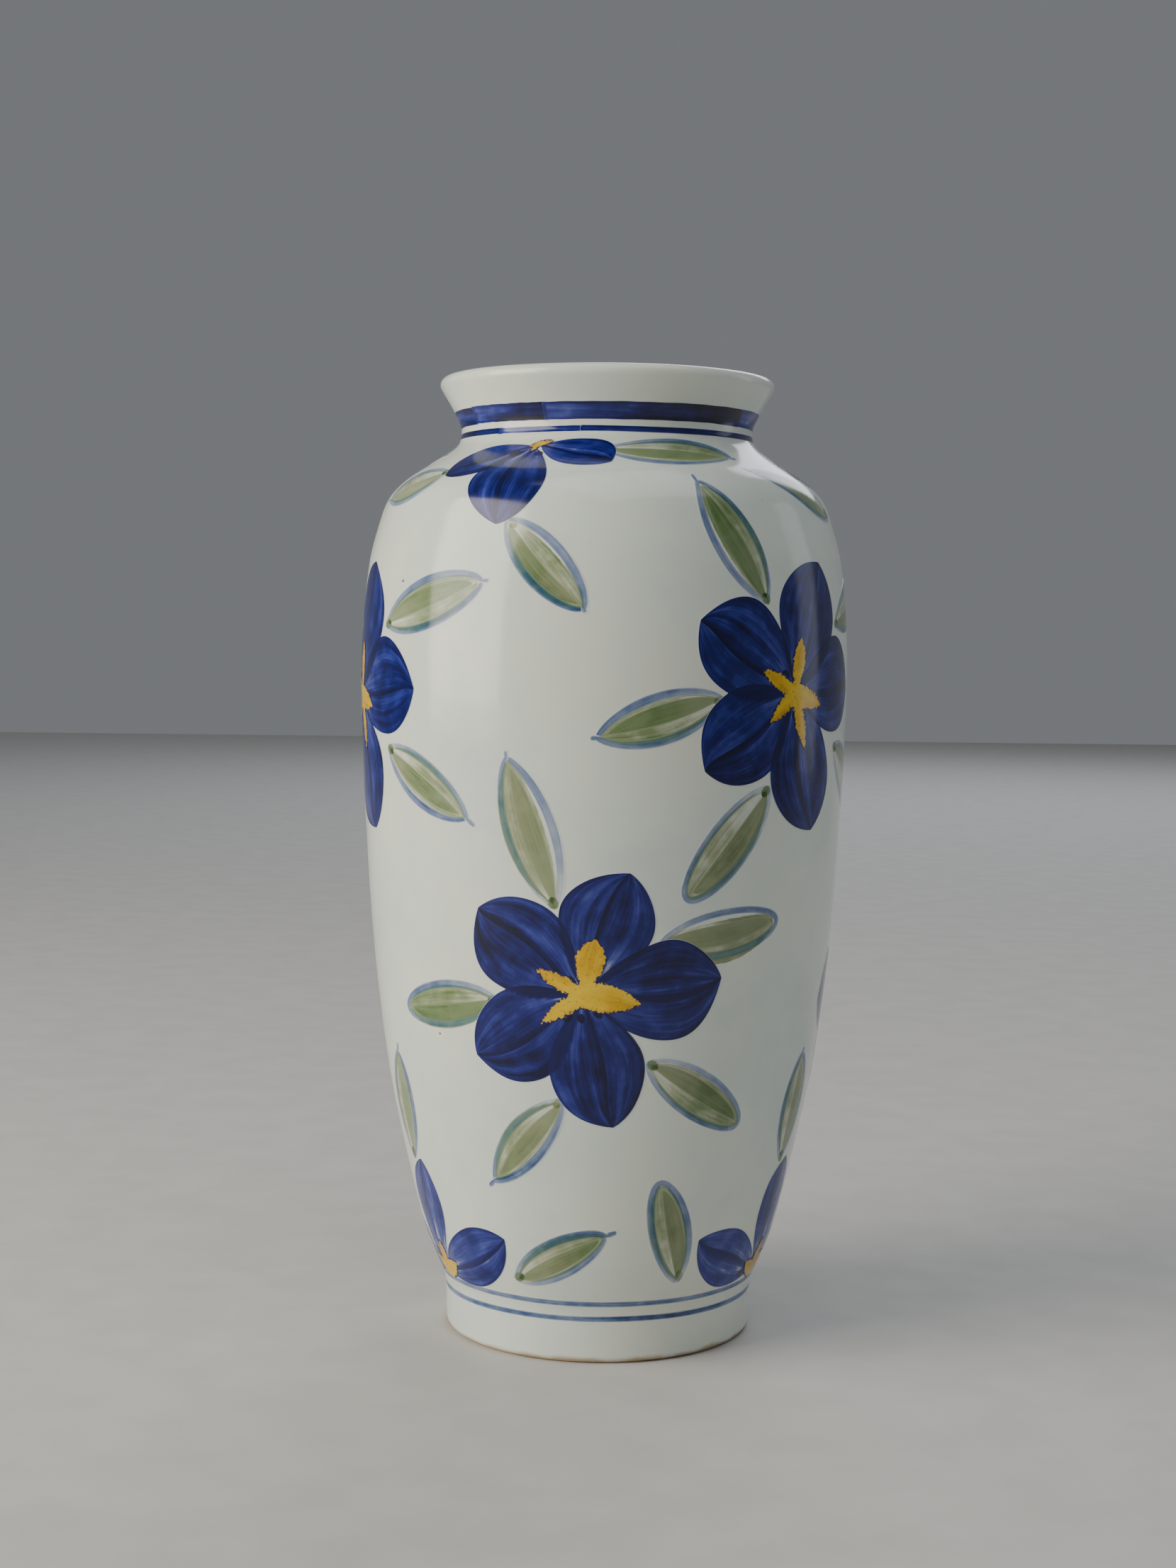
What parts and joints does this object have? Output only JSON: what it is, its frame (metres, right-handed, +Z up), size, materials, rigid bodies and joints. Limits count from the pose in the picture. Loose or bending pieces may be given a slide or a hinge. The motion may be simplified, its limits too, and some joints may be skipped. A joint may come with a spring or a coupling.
{
  "type": "flower vase",
  "caption": "Tall round-bellied ceramic vase with a broad shoulder, short neck and flaring rim, painted with flowers and leaves.",
  "frame": {"origin": "centre of the foot's resting face, on the axis of the vase", "axes": "+Z up along the axis of the vase; -Y is the painted front; +X to the right seen from the front"},
  "size_m": [0.1535, 0.1534, 0.3],
  "materials": {
    "bare_clay": "unglazed stoneware, fine matt grain",
    "fired_clay": "fired white stoneware under the glaze",
    "glaze": "glossy pale blue-white glaze with fine dark specks",
    "cobalt_paint": "cobalt blue brushwork under glossy glaze",
    "blue_line_paint": "thin blue brush lines under glossy glaze",
    "yellow_paint": "warm yellow dabs under glossy glaze",
    "green_paint": "soft green wash under glossy glaze"
  },
  "bodies": {
    "root": {"foot_ring": "bare_clay", "base_floor": "fired_clay", "heel_wall": "fired_clay", "lower_wall": "fired_clay", "middle_wall": "fired_clay", "upper_wall": "fired_clay", "shoulder_wall": "fired_clay", "collar_wall": "fired_clay", "neck_wall": "fired_clay", "rim_lip": "fired_clay", "outer_glaze": "glaze", "inner_glaze": "glaze", "underside_glaze": "glaze", "neck_broad_band": "cobalt_paint", "neck_narrow_band": "cobalt_paint", "foot_upper_line": "blue_line_paint", "foot_lower_line": "blue_line_paint", "neck_flower_1": "cobalt_paint", "neck_flower_2": "cobalt_paint", "neck_flower_3": "cobalt_paint", "upper_flower_1": "cobalt_paint", "upper_flower_2": "cobalt_paint", "upper_flower_3": "cobalt_paint", "middle_flower_1": "cobalt_paint", "middle_flower_2": "cobalt_paint", "middle_flower_3": "cobalt_paint", "foot_flower_1": "cobalt_paint", "foot_flower_2": "cobalt_paint", "foot_flower_3": "cobalt_paint", "neck_centre_1": "yellow_paint", "neck_centre_2": "yellow_paint", "neck_centre_3": "yellow_paint", "upper_centre_1": "yellow_paint", "upper_centre_2": "yellow_paint", "upper_centre_3": "yellow_paint", "middle_centre_1": "yellow_paint", "middle_centre_2": "yellow_paint", "middle_centre_3": "yellow_paint", "foot_centre_1": "yellow_paint", "foot_centre_2": "yellow_paint", "foot_centre_3": "yellow_paint", "neck_leaf_washes": "green_paint", "upper_leaf_washes": "green_paint", "middle_leaf_washes": "green_paint", "foot_leaf_washes": "green_paint", "neck_leaf_outlines": "blue_line_paint", "upper_leaf_outlines": "blue_line_paint", "middle_leaf_outlines": "blue_line_paint", "foot_leaf_outlines": "blue_line_paint"}
  },
  "joints": []
}
